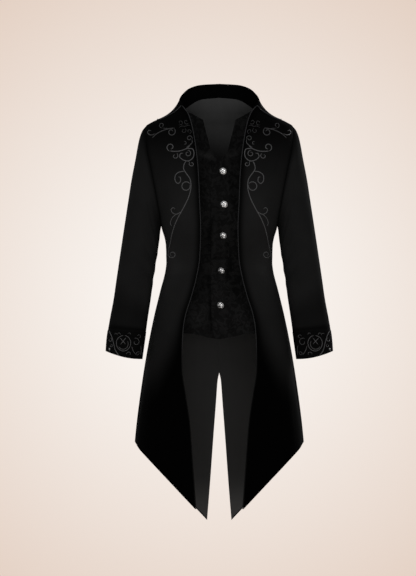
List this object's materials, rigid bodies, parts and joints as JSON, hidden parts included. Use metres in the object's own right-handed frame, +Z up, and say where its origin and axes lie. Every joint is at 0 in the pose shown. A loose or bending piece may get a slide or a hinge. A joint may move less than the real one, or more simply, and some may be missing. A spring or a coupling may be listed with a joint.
{
  "type": "tailcoat",
  "caption": "Open tailcoat with a tall collar, a pointed skirt and tails, piped edges and cuffs, and a buttoned waistcoat front sewn in, filled out with no wearer.",
  "frame": {"origin": "middle of the base of the neck, at the level of its side", "axes": "+Z up, the front of the coat faces -Y, the wearer's left is +X"},
  "size_m": [0.5958, 0.2807, 1.1464],
  "materials": {
    "coat_cloth": "black smooth suiting, soft dull sheen",
    "collar_cloth": "deep black velvet",
    "cuff_cloth": "black cloth with grey scroll embroidery",
    "waistcoat_brocade": "black brocade, softly mottled",
    "lining_satin": "dark grey satin lining",
    "piping_cord": "dark grey twisted cord",
    "button_metal": "antique silver, cast relief"
  },
  "bodies": {
    "root": {"front_left": "coat_cloth", "front_right": "coat_cloth", "back_left": "coat_cloth", "back_right": "coat_cloth", "sleeve_left": "coat_cloth", "sleeve_right": "coat_cloth", "cuff_left": "cuff_cloth", "cuff_right": "cuff_cloth", "lining_left": "lining_satin", "lining_right": "lining_satin", "piping_left": "piping_cord", "piping_right": "piping_cord", "seam_piping_left": "piping_cord", "seam_piping_right": "piping_cord", "waistcoat_left": "waistcoat_brocade", "waistcoat_right": "waistcoat_brocade", "waistcoat_collar_left": "waistcoat_brocade", "waistcoat_collar_right": "waistcoat_brocade", "cuff_button_left": "button_metal", "cuff_button_right": "button_metal", "collar": "collar_cloth", "neck_lining": "lining_satin", "waistcoat_button_1": "button_metal", "waistcoat_button_2": "button_metal", "waistcoat_button_3": "button_metal", "waistcoat_button_4": "button_metal", "waistcoat_button_5": "button_metal"}
  },
  "joints": []
}
